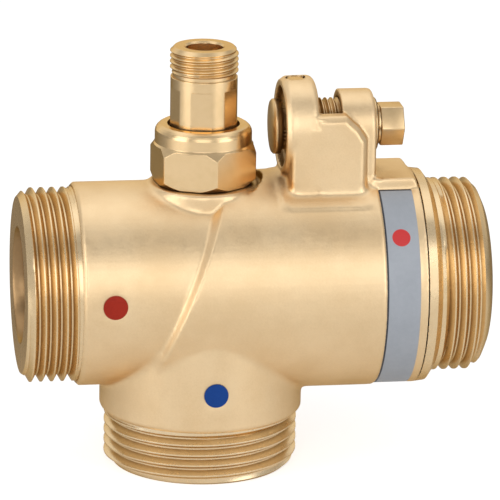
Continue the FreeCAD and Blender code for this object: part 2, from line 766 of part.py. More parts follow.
def make_parts():
    return {
        "valve_body": make_body(),
        "outlet_tailpiece": make_tailpiece(),
        "outlet_o_ring": o_ring(tail_ring_x(), tail_ring_r(), cord_r - seat_clearance),
        "gland_nut": make_nut(),
        "spindle_housing": make_housing(),
        "housing_gasket": make_gasket(),
        "adjusting_spindle": make_spindle(),
        "spindle_o_rings": make_spindle_rings(),
        "setting_carrier": make_carrier(),
        "wax_element": make_element(),
        "overload_spring": make_overload_spring(),
        "overload_clip": make_overload_clip(),
        "push_rod": make_push_rod(),
        "shuttle": make_shuttle(),
        "shuttle_o_ring": make_shuttle_ring(),
        "return_spring": make_return_spring(),
        "hot_seat_disc": make_hot_seat(),
        "hot_seat_washer": make_hot_washer(),
        "cold_seat_ring": make_cold_seat(),
        "clevis_screw": make_screw(),
        "retaining_pin": make_pin(),
        "hot_marker": marker("hot"),
        "cold_marker": marker("cold"),
        "outlet_label": make_label(),
    }


os.makedirs("parts", exist_ok=True)
for node, shape in make_parts().items():
    shape.exportStep("parts/" + node + ".step")
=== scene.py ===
"""Looks of the three-way brass mixing valve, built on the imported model.

Pieces are modelled in millimetres from the crossing of the run and the branch, with +X
along the run towards the mixed outlet and +Z up, and set_in_place brings them to metres.
"""
import math

import bmesh
import bpy
from mathutils import Matrix, Vector


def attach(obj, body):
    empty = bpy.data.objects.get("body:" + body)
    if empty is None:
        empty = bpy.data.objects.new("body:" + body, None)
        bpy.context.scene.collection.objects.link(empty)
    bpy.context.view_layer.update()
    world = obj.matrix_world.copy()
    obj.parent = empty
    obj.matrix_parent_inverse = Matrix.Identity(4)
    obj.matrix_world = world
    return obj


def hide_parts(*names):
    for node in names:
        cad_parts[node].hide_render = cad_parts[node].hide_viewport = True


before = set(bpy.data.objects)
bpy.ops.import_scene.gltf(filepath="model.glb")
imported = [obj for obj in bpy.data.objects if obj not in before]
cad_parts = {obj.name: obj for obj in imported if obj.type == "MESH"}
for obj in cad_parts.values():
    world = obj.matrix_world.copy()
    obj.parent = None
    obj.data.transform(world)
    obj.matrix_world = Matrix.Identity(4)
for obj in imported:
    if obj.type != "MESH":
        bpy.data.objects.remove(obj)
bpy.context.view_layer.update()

MM = 0.001
run_z = 40.2                 # height of the run axis over the cold port's mouth

# Pipe threads of the three ports, G 1 1/4
thread_r = 20.955
thread_root_r = 19.476
thread_pitch = 2.309
thread_steps = 96            # segments round one turn
mouth_break = 0.4            # small chamfer on the bores' mouths

# Inlet ports, with stations from the crossing of the axes
hot_shoulder = -28.0
hot_mouth = -39.75
hot_bore_r = 12.3
cold_shoulder = 28.0
cold_mouth = 40.2
cold_bore_r = 15.5
inlet_face_r = 19.1
inlet_bevel = 1.6
inlet_lap = 0.05             # start of the thread behind the shoulder
inlet_full = 0.5             # end of the plain stretch, where the run-out begins
inlet_run_out = 1.6
inlet_rim = [(0.0, 21.28), (-0.22, 21.5), (-0.4, 20.0)]    # from the shoulder, and radius

# Outlet tailpiece
seam_x = 45.75               # the body ends and the tailpiece's collar begins
tail_shoulder = 49.2
tail_mouth = 60.85
tail_nose = 1.1
tail_nose_r = 19.2
tail_bevel = 2.8
tail_face_r = 16.7
tail_bore_r = 15.6
tail_lap = 0.02
tail_full = 1.1
tail_run_out = 2.0
tail_collar = [(tail_shoulder, 21.1), (47.8, 23.1), (46.0, 23.3), (seam_x, 23.05)]
tail_socket_r = 18.95
seal_groove_r = 17.15
seal_groove_start = 38.55
seal_groove_end = 40.9
tail_end = 37.15
tail_end_r = 18.6
tail_end_bevel = 0.35

# Casting
voxel = 0.38                 # grid of the casting's skin
skin_share = 0.75            # share of the grid's triangles that is kept
run_plug = (19.4, -39.0, 47.0)     # rods that fill the waterways: radius, start and end
branch_plug = (18.4, -39.8, 0.0)
boss_plug = (7.0, 0.0, 28.8)
clevis_fillers = (((24.0, -9.95, 29.2), (3.6, 1.9, 13.2)),    # middle and size of each
                  ((24.1, -9.6, 36.6), (1.6, 1.8, 3.2)))
end_trim = 0.1               # width cut off the skin at each machined end
boss_mouth_r = 9.6
boss_mouth_z = 22.6
inside_corner = -0.3         # radians from flat past which an edge gets a casting radius
blend_reach = 5              # rings of points that an inside corner's blend takes in
blend_passes = 14
skirt_r = 24.0               # low skirt round the foot of the clevis
skirt_foot_r = 20.0
skirt_start = 15.4
skirt_end = 35.0
skirt_half_angle = 36.0
skirt_corner = 3.0

# Features of the casting that stay crisp
step_x = -6.5                # where the oblique step crosses the run axis
step_lean = 22.8             # degrees that the step leans towards the outlet
step_margin = 3.0
step_foot = -10.0
label_bed_x = 35.9
label_bed_r = 24.3
label_bed_flank = 8.0
counterbore_r = 9.6
nut_seat_z = 21.9
nut_seat_r = 13.2
clevis_x = 14.0              # the clevis lies past these, towards the outlet and upwards
clevis_z = 24.5
ports_start = -27.0          # along X for the hot port, along Z for the cold one

# Waterways
run_way_r = 19.02
run_way_end = -39.7
branch_way_r = 15.95
boss_way_r = 9.6

# Neck, its wrench flats and its fine thread
neck_skin_low = 33.0
neck_core_r = 6.6            # inside this radius the housing keeps its own faces
neck_plain_r = 7.2
neck_segments = 216
neck_flats = 13.7            # across the flats
neck_flats_turn = -12.0      # degrees of the front flat from straight ahead
neck_flats_low = 34.0
neck_flats_top = 43.3
neck_groove_low = 45.6
neck_groove_break = 0.1
neck_thread_low = 46.4
neck_top = 52.1
neck_crest_r = 7.35
neck_root_r = 6.78
neck_pitch = 1.2
neck_run_in = 0.4
neck_bevel = 0.9
neck_bore_r = 4.0
neck_bore_margin = 0.08      # faces within it belong to the bore, and stay

# Clevis screw and the pin that retains it
screw_axis = 34.0            # height of the clevis screw over the run axis
screw_crest_r = 5.95
screw_root_r = 5.25
screw_pitch = 1.25
screw_thread_start = 21.85
screw_thread_end = 31.5
screw_run_out = 0.8
screw_skin_start = 21.55
screw_skin_end = 36.95
shank_start = 21.7           # between these stations the solid's shank gives way
shank_end = 37.2
shank_margin = 0.2
screw_collar_end = 37.9
fine_thread_steps = 64
hex_start = 38.0
hex_end = 43.1
hex_corner_r = 4.907
hex_bevel = 0.28
hot_ear_r = 10.9
pin_x = 19.75
pin_r = 1.8
pin_rim_r = 2.15             # dark ring round the retaining pin's end
pin_rim_depth = 0.7
pin_rim_gather = 0.28        # points this near the rim's radius are drawn onto it
pin_rim_zone = 1.2           # depth below the ear's top that the rim may touch

# Label, with heights over the floor
label_side_shadow = (37.04, 37.12)  # X over which the painted shadow along the left side fades
label_top_shadow = (61.64, 61.69)   # height over which the painted shadow along the top begins
label_dot = (40.2, -18.9, 54.0)
label_dot_r = (1.90, 2.02)

# Camera, in degrees and millimetres
camera_around = -8.825
camera_above = 16.289
camera_roll = 0.909
camera_distance = 1055.1
camera_right = 10.605
camera_up = 6.318
camera_lens = 351.19

# Levels of light
floor_tone = (0.80, 0.80, 0.80, 1)
floor_tone_behind = (0.54, 0.54, 0.54, 1)    # as the metal mirrors it, behind the part
floor_lift = 0.62            # light of the floor's own, as the camera sees it
floor_lift_mirrored = 0.22   # and as the metal mirrors it, in front
floor_drop = 0.00002         # metres that the floor lies under the part
room_level = 0.48            # light on matt surfaces
front_level = 0.52           # walls as the metal mirrors them
back_level = 1.0
wall_top_share = 0.85
overhead_level = 1.25
aim_x = 0.01                 # point that the lamps face, in metres
aim_z = 0.045


# ---------------------------------------------------------------- mesh helpers

def from_node(name):
    """Merged copy of a CAD node in millimetres from the crossing of the axes."""
    bm = bmesh.new()
    bm.from_mesh(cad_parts[name].data)
    bmesh.ops.translate(bm, verts=bm.verts, vec=(0, 0, -run_z * MM))
    bmesh.ops.scale(bm, verts=bm.verts, vec=(1 / MM, 1 / MM, 1 / MM))
    bmesh.ops.remove_doubles(bm, verts=bm.verts, dist=0.0005)
    return bm


def set_in_place(bm, name, material, body="valve", smooth_angle=35):
    """Finished object from a bmesh, smooth but for its edges, riding on a body."""
    bmesh.ops.scale(bm, verts=bm.verts, vec=(MM, MM, MM))
    bmesh.ops.translate(bm, verts=bm.verts, vec=(0, 0, run_z * MM))
    mesh = bpy.data.meshes.new(name)
    bm.to_mesh(mesh)
    bm.free()
    mesh.materials.append(material)
    piece = bpy.data.objects.new(name, mesh)
    bpy.context.scene.collection.objects.link(piece)
    mesh.polygons.foreach_set("use_smooth", [True] * len(mesh.polygons))
    mesh.set_sharp_from_angle(angle=math.radians(smooth_angle))
    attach(piece, body)
    return piece


def add_rod(bm, radius, start, end, axis):
    """Closed cylinder between two stations of an axis through the origin."""
    turn = Vector((0, 0, 1)).rotation_difference(Vector(axis)).to_matrix().to_4x4()
    middle = Vector(axis) * (start + end) / 2
    bmesh.ops.create_cone(bm, cap_ends=True, segments=64, radius1=radius, radius2=radius,
                          depth=end - start, matrix=Matrix.Translation(middle) @ turn)


def cut(bm, point, outward, drop_outer=True):
    """Cuts a mesh at a plane and, unless told otherwise, drops what lies beyond it."""
    bmesh.ops.bisect_plane(bm, geom=bm.verts[:] + bm.edges[:] + bm.faces[:], dist=1e-5,
                           plane_co=point, plane_no=outward, clear_outer=drop_outer)


def wind_thread(bm, crest_r, root_r, pitch, start, end, steps=thread_steps):
    """Right-hand thread round X as one wound strip, cut square at start and end."""
    flat = pitch * 0.12
    crest = flat * 0.55
    root = flat * 0.6
    shoulder_r = crest_r - pitch * 0.08
    middle = pitch / 2
    tooth = [(0, root_r), (root, root_r), (middle - flat, shoulder_r), (middle - crest, crest_r),
             (middle + crest, crest_r), (middle + flat, shoulder_r), (pitch - root, root_r),
             (pitch, root_r)]
    turns = math.ceil((end - start) / pitch) + 2
    points = [bm.verts.new((start - 1.5 * pitch + x, 0, r)) for x, r in tooth]
    line = [bm.edges.new(pair) for pair in zip(points, points[1:])]
    bmesh.ops.spin(bm, geom=points + line, cent=(0, 0, 0), axis=(1, 0, 0),
                   dvec=(pitch / steps, 0, 0), angle=2 * math.pi * turns, steps=steps * turns)
    bmesh.ops.remove_doubles(bm, verts=bm.verts, dist=0.0005)
    cut(bm, (start, 0, 0), (-1, 0, 0))
    cut(bm, (end, 0, 0), (1, 0, 0))


def hold_radius(bm, low=None, high=None):
    """Keeps each point's distance from X between two limits that vary along X."""
    for v in bm.verts:
        r = math.hypot(v.co.y, v.co.z)
        wanted = r
        if high:
            wanted = min(wanted, high(v.co.x))
        if low:
            wanted = max(wanted, low(v.co.x))
        if r > 0 and wanted != r:
            v.co.y *= wanted / r
            v.co.z *= wanted / r


def border_ring(bm, station, near=0.01):
    """Open edges round one station of X."""
    return [e for e in bm.edges if e.is_boundary
            and all(abs(v.co.x - station) < near for v in e.verts)]


def grow(bm, ring):
    """Extrudes a ring of edges in place; gives the new edges and their points."""
    made = bmesh.ops.extrude_edge_only(bm, edges=ring)["geom"]
    edges = [part for part in made if isinstance(part, bmesh.types.BMEdge)]
    return edges, {v for e in edges for v in e.verts}


def carry_on(bm, ring, steps):
    """Extends an open ring round X through (station, radius) steps."""
    for station, radius in steps:
        ring, points = grow(bm, ring)
        for v in points:
            r = math.hypot(v.co.y, v.co.z)
            v.co = Vector((station, v.co.y * radius / r, v.co.z * radius / r))


def between(points):
    """Straight-line interpolation through (station, value) points."""
    def value(x):
        for (x0, a), (x1, b) in zip(points, points[1:]):
            if x <= x1:
                return a + (b - a) * max(0.0, (x - x0) / (x1 - x0))
        return points[-1][1]
    return value


def drop_faces(bm, unwanted):
    """Deletes the faces whose middles a test picks out."""
    doomed = [f for f in bm.faces if unwanted(f.calc_center_median())]
    bmesh.ops.delete(bm, geom=doomed, context="FACES")


def turn_to(bm, axis):
    """Turns a mesh made round +X so that +X lies along another axis."""
    turn = Vector((1, 0, 0)).rotation_difference(Vector(axis)).to_matrix()
    bmesh.ops.rotate(bm, verts=bm.verts, cent=(0, 0, 0), matrix=turn)


# ---------------------------------------------------------------- shader groups

def new_group(name, inputs, outputs):
    """Empty shader group with its sockets, and its input and output nodes."""
    group = bpy.data.node_groups.new(name, "ShaderNodeTree")
    for label, kind, value in inputs:
        socket = group.interface.new_socket(label, in_out="INPUT", socket_type=kind)
        socket.default_value = value
    for label, kind in outputs:
        group.interface.new_socket(label, in_out="OUTPUT", socket_type=kind)
    return group, group.nodes.new("NodeGroupInput"), group.nodes.new("NodeGroupOutput")


def node(tree, kind, **settings):
    """New shader node with its settings."""
    made = tree.nodes.new(kind)
    for label, value in settings.items():
        setattr(made, label, value)
    return made


def math_node(tree, operation, first, second):
    """Result of an operation on two values, each a socket or a number."""
    made = node(tree, "ShaderNodeMath", operation=operation)
    for socket, value in zip(made.inputs, (first, second)):
        if isinstance(value, (int, float)):
            socket.default_value = value
        else:
            tree.links.new(value, socket)
    return made.outputs[0]


def remap(tree, value, low, high, to_low=0.0, to_high=1.0):
    """Value taken smoothly from one range to another."""
    made = node(tree, "ShaderNodeMapRange", interpolation_type="SMOOTHSTEP")
    tree.links.new(value, made.inputs["Value"])
    for label, number in (("From Min", low), ("From Max", high),
                          ("To Min", to_low), ("To Max", to_high)):
        made.inputs[label].default_value = number
    return made.outputs["Result"]


def noise(tree, coords, scale, detail=2.0, roughness=0.5):
    """Noise pattern; its scale is a socket or a number."""
    made = node(tree, "ShaderNodeTexNoise")
    tree.links.new(coords, made.inputs["Vector"])
    if isinstance(scale, (int, float)):
        made.inputs["Scale"].default_value = scale
    else:
        tree.links.new(scale, made.inputs["Scale"])
    made.inputs["Detail"].default_value = detail
    made.inputs["Roughness"].default_value = roughness
    return made.outputs["Fac"]


def mix_colour(tree, fac, first, second):
    """Blend of two colours, each a socket or a colour."""
    made = node(tree, "ShaderNodeMix", data_type="RGBA")
    tree.links.new(fac, made.inputs[0])
    for socket, value in ((made.inputs[6], first), (made.inputs[7], second)):
        if isinstance(value, tuple):
            socket.default_value = value
        else:
            tree.links.new(value, socket)
    return made.outputs[2]


lump_scale = 420.0           # coarser lumps of the blasted skin
lump_share = 0.45
cloud_share = 0.7            # share of the slow unevenness in the tone


def make_grain_group():
    """Fine blasted grain over slow unevenness: a height and a tone."""
    group, given, out = new_group("metal_grain", [
        ("Grain Scale", "NodeSocketFloat", 2200.0), ("Cloud Scale", "NodeSocketFloat", 70.0)],
        [("Height", "NodeSocketFloat"), ("Tone", "NodeSocketFloat")])
    where = node(group, "ShaderNodeTexCoord").outputs["Object"]
    fine = noise(group, where, given.outputs["Grain Scale"], 3.0, 0.6)
    slow = noise(group, where, given.outputs["Cloud Scale"], 4.0, 0.55)
    lumps = noise(group, where, lump_scale, 2.0, 0.5)
    height = math_node(group, "ADD", math_node(group, "MULTIPLY", fine, 1 - lump_share),
                       math_node(group, "MULTIPLY", lumps, lump_share))
    group.links.new(height, out.inputs["Height"])
    tone = math_node(group, "ADD", math_node(group, "MULTIPLY", slow, cloud_share),
                     math_node(group, "MULTIPLY", fine, 1 - cloud_share))
    group.links.new(tone, out.inputs["Tone"])
    return group


def make_recess_group():
    """Mask of inside corners and thread roots, from ambient occlusion, where painted shade darkens
    the colour.
    """
    group, given, out = new_group("recess_painted_shade", [
        ("Low", "NodeSocketFloat", 0.25), ("High", "NodeSocketFloat", 0.85),
        ("Reach", "NodeSocketFloat", 0.0018)],
        [("Mask", "NodeSocketFloat")])
    shade = node(group, "ShaderNodeAmbientOcclusion", samples=8)
    group.links.new(given.outputs["Reach"], shade.inputs["Distance"])
    ramp = node(group, "ShaderNodeMapRange", interpolation_type="SMOOTHSTEP")
    group.links.new(shade.outputs["AO"], ramp.inputs["Value"])
    group.links.new(given.outputs["Low"], ramp.inputs["From Min"])
    group.links.new(given.outputs["High"], ramp.inputs["From Max"])
    ramp.inputs["To Min"].default_value = 1.0
    ramp.inputs["To Max"].default_value = 0.0
    group.links.new(ramp.outputs["Result"], out.inputs["Mask"])
    return group


grain_group = make_grain_group()
recess_group = make_recess_group()


def place_group(tree, group, **values):
    """Copy of a shader group with its own values."""
    made = node(tree, "ShaderNodeGroup", node_tree=group)
    for label, value in values.items():
        made.inputs[label.replace("_", " ")].default_value = value
    return made


def start_material(name, **sockets):
    """Node material with constants on its Principled sockets."""
    material = bpy.data.materials.new(name)
    material.use_nodes = True
    tree = material.node_tree
    shader = tree.nodes["Principled BSDF"]
    for label, value in sockets.items():
        shader.inputs[label.replace("_", " ")].default_value = value
    return material, tree, shader


recess_rough = 0.12          # share of the painted-shade mask in the roughness
turned_grain_share = 0.4     # share of the grain under turning marks
brass_relief = 0.00004


def brass(name, light, deep, recess, rough, grain_scale, bump, edge=0.0002, turned=None,
          recess_high=0.85, reach=0.0018, spread=0.055):
    """Brass finish: two tones of metal, painted shade in recesses, grain, softened edges."""
    material, tree, shader = start_material(name, Metallic=1.0,
                                            Specular_Tint=(0.72, 0.55, 0.33, 1))
    grain = place_group(tree, grain_group, Grain_Scale=grain_scale)
    painted_shade = place_group(tree, recess_group, High=recess_high, Reach=reach)
    tone = remap(tree, grain.outputs["Tone"], 0.35, 0.65)
    colour = mix_colour(tree, tone, deep, light)
    # painted shade: the colour goes towards the recess colour where ambient occlusion finds
    # corners and roots
    colour = mix_colour(tree, painted_shade.outputs["Mask"], colour, recess)
    tree.links.new(colour, shader.inputs["Base Color"])
    base = remap(tree, grain.outputs["Height"], 0.3, 0.7, rough - spread, rough + spread)
    tree.links.new(math_node(tree, "ADD", base,
                             math_node(tree, "MULTIPLY", painted_shade.outputs["Mask"], recess_rough)),
                   shader.inputs["Roughness"])
    height = grain.outputs["Height"]
    if turned:
        where = node(tree, "ShaderNodeTexCoord").outputs["Object"]
        squeeze = node(tree, "ShaderNodeMapping")
        squeeze.inputs["Scale"].default_value = turned
        tree.links.new(where, squeeze.inputs["Vector"])
        lines = noise(tree, squeeze.outputs["Vector"], 1.0, 2.0, 0.6)
        height = math_node(tree, "ADD",
                           math_node(tree, "MULTIPLY", height, turned_grain_share), lines)
    relief = node(tree, "ShaderNodeBump")
    relief.inputs["Strength"].default_value = bump
    relief.inputs["Distance"].default_value = brass_relief
    tree.links.new(height, relief.inputs["Height"])
    rounded = node(tree, "ShaderNodeBevel", samples=6)
    rounded.inputs["Radius"].default_value = edge
    tree.links.new(rounded.outputs["Normal"], relief.inputs["Normal"])
    tree.links.new(relief.outputs["Normal"], shader.inputs["Normal"])
    return material


marks_round_x = (6000.0, 40.0, 40.0)     # scale of turning marks: fine along the axis
marks_round_z = (40.0, 40.0, 6000.0)
# colours of the painted shade in inside corners and thread roots, pale and deep
pale_painted_shade = (0.56, 0.40, 0.215, 1)
deep_painted_shade = (0.24, 0.135, 0.05, 1)
cast_brass = brass("blasted_cast_brass", (0.895, 0.68, 0.415, 1), (0.82, 0.60, 0.345, 1),
                   deep_painted_shade, 0.42, 2400.0, 0.9, recess_high=0.72, reach=0.006)
thread_brass = brass("cut_thread_brass", (0.86, 0.66, 0.405, 1), (0.79, 0.59, 0.345, 1),
                     pale_painted_shade, 0.28, 900.0, 0.12, edge=0.00006, turned=marks_round_x,
                     recess_high=0.7, spread=0.02)
# upright thread: its third colour is a paler painted shade for its roots
upright_thread_brass = brass("upright_thread_brass", (0.88, 0.70, 0.46, 1),
                             (0.82, 0.64, 0.40, 1), (0.62, 0.47, 0.28, 1), 0.28, 900.0, 0.12,
                             edge=0.00006, turned=marks_round_z, recess_high=0.7, spread=0.02)
# bored insides: the brass darkened as painted shade, with deep painted shade reaching far into the
# recesses
bored_brass_painted_shade = brass("bored_brass_painted_shade", (0.42, 0.27, 0.135, 1), (0.34, 0.21, 0.10, 1), deep_painted_shade,
                    0.34, 900.0, 0.12, recess_high=0.95, reach=0.014, spread=0.03)
upright_brass = brass("turned_brass", (0.86, 0.625, 0.35, 1), (0.79, 0.56, 0.295, 1),
                      pale_painted_shade, 0.25, 900.0, 0.03, edge=0.00016, turned=marks_round_z,
                      spread=0.015)
screw_brass = brass("screw_brass", (0.82, 0.60, 0.345, 1), (0.74, 0.53, 0.285, 1), deep_painted_shade,
                    0.32, 900.0, 0.04, edge=0.00012, turned=marks_round_x,
                    recess_high=0.7, reach=0.006, spread=0.02)

trim_relief = 0.00003


def plain_finish(name, light, deep, rough, metallic=0.0, grain_scale=1500.0, bump=0.15, **more):
    """Finish with two tones and a slight grain, for trim and inner pieces."""
    material, tree, shader = start_material(name, Metallic=metallic, **more)
    grain = place_group(tree, grain_group, Grain_Scale=grain_scale)
    tone = remap(tree, grain.outputs["Tone"], 0.35, 0.65)
    tree.links.new(mix_colour(tree, tone, deep, light), shader.inputs["Base Color"])
    tree.links.new(remap(tree, grain.outputs["Height"], 0.3, 0.7, rough - 0.04, rough + 0.05),
                   shader.inputs["Roughness"])
    relief = node(tree, "ShaderNodeBump")
    relief.inputs["Strength"].default_value = bump
    relief.inputs["Distance"].default_value = trim_relief
    tree.links.new(grain.outputs["Height"], relief.inputs["Height"])
    tree.links.new(relief.outputs["Normal"], shader.inputs["Normal"])
    return material


red_enamel = plain_finish("red_enamel", (0.37, 0.022, 0.008, 1), (0.31, 0.016, 0.006, 1), 0.4,
                          bump=0.1, Specular_IOR_Level=0.2)
blue_enamel = plain_finish("blue_enamel", (0.005, 0.052, 0.26, 1), (0.003, 0.040, 0.21, 1), 0.4,
                           bump=0.1, Specular_IOR_Level=0.2)
rubber = plain_finish("black_rubber", (0.022, 0.022, 0.022, 1), (0.012, 0.012, 0.012, 1), 0.6)
fibre = plain_finish("fibre_gasket", (0.20, 0.22, 0.19, 1), (0.13, 0.15, 0.12, 1), 0.8,
                     grain_scale=3000.0, bump=0.5)
plastic = plain_finish("grey_plastic", (0.30, 0.31, 0.32, 1), (0.24, 0.25, 0.26, 1), 0.45)
copper = plain_finish("copper_capsule", (0.80, 0.42, 0.27, 1), (0.68, 0.33, 0.19, 1), 0.3,
                      metallic=1.0)
steel = plain_finish("spring_steel", (0.62, 0.61, 0.59, 1), (0.50, 0.49, 0.47, 1), 0.28,
                     metallic=1.0)


def label_film():
    """Grey-blue film with painted shadows along its left side and its top, and a red dot."""
    material, tree, shader = start_material("label_film", Roughness=0.42)
    where = node(tree, "ShaderNodeTexCoord").outputs["Object"]
    split = node(tree, "ShaderNodeSeparateXYZ")
    tree.links.new(where, split.inputs["Vector"])
    grain = place_group(tree, grain_group, Grain_Scale=900.0)
    tone = remap(tree, grain.outputs["Tone"], 0.3, 0.7)
    colour = mix_colour(tree, tone, (0.345, 0.37, 0.41, 1), (0.40, 0.425, 0.465, 1))
    side_shadow = remap(tree, split.outputs["X"], label_side_shadow[0] * MM, label_side_shadow[1] * MM, 1.0, 0.0)
    top_shadow = remap(tree, split.outputs["Z"], label_top_shadow[0] * MM, label_top_shadow[1] * MM)
    # painted shadows of the groove's walls along the label's left side and its top
    line = math_node(tree, "MAXIMUM", side_shadow, top_shadow)
    colour = mix_colour(tree, line, colour, (0.035, 0.035, 0.045, 1))
    away = node(tree, "ShaderNodeVectorMath", operation="DISTANCE")
    away.inputs[1].default_value = tuple(c * MM for c in label_dot)
    tree.links.new(where, away.inputs[0])
    dot = remap(tree, away.outputs["Value"], label_dot_r[0] * MM, label_dot_r[1] * MM, 1.0, 0.0)
    colour = mix_colour(tree, dot, colour, (0.62, 0.035, 0.035, 1))
    tree.links.new(colour, shader.inputs["Base Color"])
    return material


label_finish = label_film()


# ---------------------------------------------------------------- cast body

def make_casting():
    """Outer skin of the casting, with soft inside corners and open machined ends."""
    bm = from_node("valve_body")
    add_rod(bm, *run_plug, (1, 0, 0))
    add_rod(bm, *branch_plug, (0, 0, 1))
    add_rod(bm, *boss_plug, (0, 0, 1))
    for middle, size in clevis_fillers:
        bmesh.ops.create_cube(bm, size=1.0, matrix=Matrix.Translation(middle)
                              @ Matrix.Diagonal(size + (1.0,)))
    add_skirt(bm)
    rough = bpy.data.meshes.new("casting_grid")
    bm.to_mesh(rough)
    bm.free()
    holder = bpy.data.objects.new("casting_grid", rough)
    bpy.context.scene.collection.objects.link(holder)
    grid = holder.modifiers.new("grid", "REMESH")
    grid.mode = "VOXEL"
    grid.voxel_size = voxel
    depsgraph = bpy.context.evaluated_depsgraph_get()
    bm = bmesh.new()
    bm.from_mesh(holder.evaluated_get(depsgraph).to_mesh())
    bpy.data.objects.remove(holder)
    soften_inside_corners(bm)
    cut(bm, (hot_shoulder + end_trim, 0, 0), (-1, 0, 0))
    cut(bm, (0, 0, end_trim - cold_shoulder), (0, 0, -1))
    cut(bm, (seam_x - end_trim, 0, 0), (1, 0, 0))
    drop_faces(bm, lambda c: math.hypot(c.x, c.y) < boss_mouth_r and c.z > boss_mouth_z)
    sink_pin_rim(bm)
    bmesh.ops.triangulate(bm, faces=[f for f in bm.faces if len(f.verts) > 4])
    piece = set_in_place(bm, "cast_body", cast_brass, smooth_angle=80)
    thin = piece.modifiers.new("thin", "DECIMATE")
    thin.ratio = skin_share
    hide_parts("valve_body")


def sink_pin_rim(bm):
    """Ring-shaped step round the retaining pin's end in the top of the hot ear."""
    def from_pin(point):
        return math.hypot(point.x - pin_x, point.y)

    ear_top = screw_axis + hot_ear_r
    lowest = ear_top - pin_rim_zone
    for v in bm.verts:
        r = from_pin(v.co)
        if v.co.z > lowest and abs(r - pin_rim_r) < pin_rim_gather:
            v.co.x = pin_x + (v.co.x - pin_x) * pin_rim_r / r
            v.co.y *= pin_rim_r / r
    drop_faces(bm, lambda c: c.z > lowest and from_pin(c) < pin_rim_r - 0.01)
    ring = [e for e in bm.edges if e.is_boundary
            and all(v.co.z > lowest and from_pin(v.co) < pin_rim_r + 0.05 for v in e.verts)]
    for radius in (pin_rim_r - 0.05, pin_r):
        ring, points = grow(bm, ring)
        for v in points:
            r = from_pin(v.co)
            v.co = Vector((pin_x + (v.co.x - pin_x) * radius / r, v.co.y * radius / r,
                           ear_top - pin_rim_depth))


def add_skirt(bm):
    """Low skirt that the clevis grows from, wrapped on the top of the outlet barrel."""
    corners = [(skirt_start, skirt_foot_r), (skirt_end, skirt_foot_r), (skirt_end, skirt_r),
               (skirt_start, skirt_r)]
    start = math.radians(skirt_half_angle)
    section = bm.faces.new([bm.verts.new((x, -r * math.sin(start), r * math.cos(start)))
                            for x, r in corners])
    bmesh.ops.spin(bm, geom=[section] + section.edges[:] + section.verts[:],
                   cent=(0, 0, 0), axis=(1, 0, 0), angle=-2 * start, steps=36)
    edges = [e for e in bm.edges if on_skirt_corner(e)]
    bmesh.ops.bevel(bm, geom=edges, offset=skirt_corner, offset_type="OFFSET", segments=5,
                    profile=0.5, affect="EDGES", material=-1)


def on_skirt_corner(edge):
    """True for the skirt's four upright corner edges."""
    ends = [math.hypot(v.co.y, v.co.z) for v in edge.verts]
    middle = (edge.verts[0].co + edge.verts[1].co) / 2
    at_end = min(abs(middle.x - skirt_start), abs(middle.x - skirt_end)) < 1e-4
    across = abs(math.degrees(math.atan2(middle.y, middle.z)))
    return at_end and abs(across - skirt_half_angle) < 0.5 and abs(ends[0] - ends[1]) > 2


def machined(c):
    """True where a point lies on a turned or bored feature whose corners stay crisp."""
    label_bed = (c.x > label_bed_x and math.hypot(c.y, c.z) < label_bed_r
                 and abs(c.y) > label_bed_flank)
    screw_bore = math.hypot(c.y, c.z - screw_axis) < counterbore_r
    nut_seat = c.z > nut_seat_z and math.hypot(c.x, c.y) < nut_seat_r
    from_step = c.x - step_x - c.z * math.tan(math.radians(step_lean))
    step = abs(from_step) < step_margin and c.z > step_foot
    clevis = c.z > clevis_z and c.x > clevis_x
    port = c.x < ports_start or c.z < ports_start
    return label_bed or screw_bore or nut_seat or step or clevis or port


def soften_inside_corners(bm):
    """Fills inside corners with casting radii, then evens the whole skin a little."""
    zone = {v for e in bm.edges if e.calc_face_angle_signed(0) < inside_corner
            for v in e.verts if not machined(v.co)}
    for ring in range(blend_reach):
        zone |= {e.other_vert(v) for v in zone for e in v.link_edges}
    zone = [v for v in zone if not machined(v.co)]
    for repeat in range(blend_passes):
        even_out(bm, zone)
    even_out(bm, [v for v in bm.verts if not machined(v.co)])


def even_out(bm, points):
    """Moves points halfway to the middle of their neighbours."""
    bmesh.ops.smooth_vert(bm, verts=points, factor=0.5,
                          use_axis_x=True, use_axis_y=True, use_axis_z=True)


def make_waterways():
    """Bored and turned surfaces inside the casting, in a darker copy of the brass that paints
    their shade.
    """
    bm = from_node("valve_body")

    def outside(c):
        in_run = math.hypot(c.y, c.z) < run_way_r and c.x > run_way_end
        in_branch = math.hypot(c.x, c.y) < branch_way_r and c.z < 0
        in_boss = math.hypot(c.x, c.y) < boss_way_r and c.z > 0
        return not (in_run or in_branch or in_boss)

    drop_faces(bm, outside)
    set_in_place(bm, "body_waterways", bored_brass_painted_shade)


def inlet_thread(name, shoulder, mouth, axis, bore_r, material):
    """Screwed inlet end: shoulder, wound thread with its run-out, bevel and face."""
    bm = bmesh.new()
    start = shoulder - inlet_lap
    wind_thread(bm, thread_r, thread_root_r, thread_pitch, start, mouth)
    hold_radius(bm,
                low=between([(start, thread_r), (shoulder + inlet_full, thread_r),
                             (shoulder + inlet_run_out, thread_root_r), (mouth, 0.0)]),
                high=between([(start, thread_r), (mouth - inlet_bevel, thread_r),
                              (mouth, inlet_face_r)]))
    carry_on(bm, border_ring(bm, mouth), [(mouth, bore_r + mouth_break)])
    carry_on(bm, border_ring(bm, start), [(shoulder + back, radius) for back, radius in inlet_rim])
    bmesh.ops.recalc_face_normals(bm, faces=bm.faces)
    turn_to(bm, axis)
    set_in_place(bm, name, material, smooth_angle=28)


# ---------------------------------------------------------------- mixed outlet

